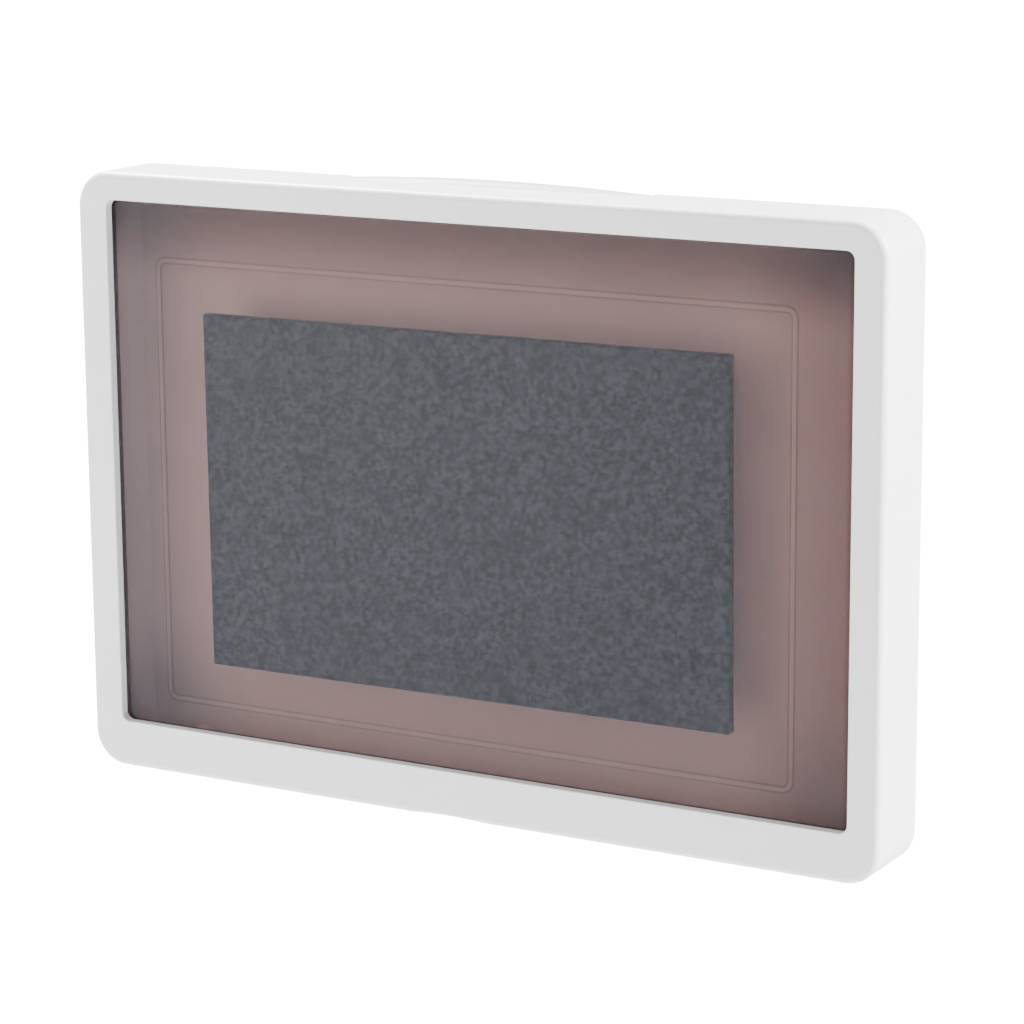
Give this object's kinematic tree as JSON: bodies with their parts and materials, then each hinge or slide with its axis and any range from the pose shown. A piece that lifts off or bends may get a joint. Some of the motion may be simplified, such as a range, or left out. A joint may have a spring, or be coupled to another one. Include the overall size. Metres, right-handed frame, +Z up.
{
  "type": "wall phone box",
  "caption": "Wall-mounted box that holds a phone behind a tinted touch film: a deep frame that flips up on a top hinge over a shallow tray, which swivels on a slide-off bracket.",
  "frame": {"origin": "centre of the wall face, the back of the adhesive pad, on the swivel's axis", "axes": "+X right along the box's width, +Z up, +Y into the wall, the film faces -Y"},
  "size_m": [0.205, 0.0332, 0.1442],
  "materials": {
    "cover_white": "satin white moulding",
    "tray_white": "satin white moulding",
    "tinted_film": "translucent mauve film",
    "frame_grey": "matt grey",
    "black_tape": "matt black",
    "seal_rubber": "matt",
    "foam": "fine-celled foam with a felted face",
    "pad_tape": "matt",
    "steel": "machined",
    "magnet": "nickel plated",
    "bush": "turned",
    "mount_grey": "fine texture",
    "adhesive": "soft foam tape"
  },
  "bodies": {
    "bracket": {"wall_bracket": "mount_grey", "adhesive_pad": "adhesive"},
    "shoe": {"slide_shoe": "mount_grey", "friction_ring": "seal_rubber", "thrust_washer": "steel", "centre_screw": "steel"},
    "tray": {"rear_tray": "tray_white", "rim_seal": "seal_rubber", "foam_pad": "foam", "pad_tape": "pad_tape", "hinge_pin": "steel", "tray_magnets": "magnet", "swivel_hub": "mount_grey", "hub_screws": "steel"},
    "cover": {"front_cover": "cover_white", "film_tape": "black_tape", "touch_film": "tinted_film", "film_frame": "frame_grey", "frame_screws": "steel", "cover_magnets": "magnet", "hinge_bushes": "bush"}
  },
  "joints": [
    {"name": "lift_off", "type": "slide", "parent": "bracket", "child": "shoe", "axis": [0, 0, 1], "range_m": [0, 0.04]},
    {"name": "swivel", "type": "hinge", "parent": "shoe", "child": "tray", "pos_m": [0, -0.012, 0], "axis": [0, 1, 0], "range_deg": [-90, 90]},
    {"name": "cover_hinge", "type": "hinge", "parent": "tray", "child": "cover", "pos_m": [0, -0.0162, 0.0685], "axis": [-1, 0, 0], "range_deg": [0, 105]}
  ]
}
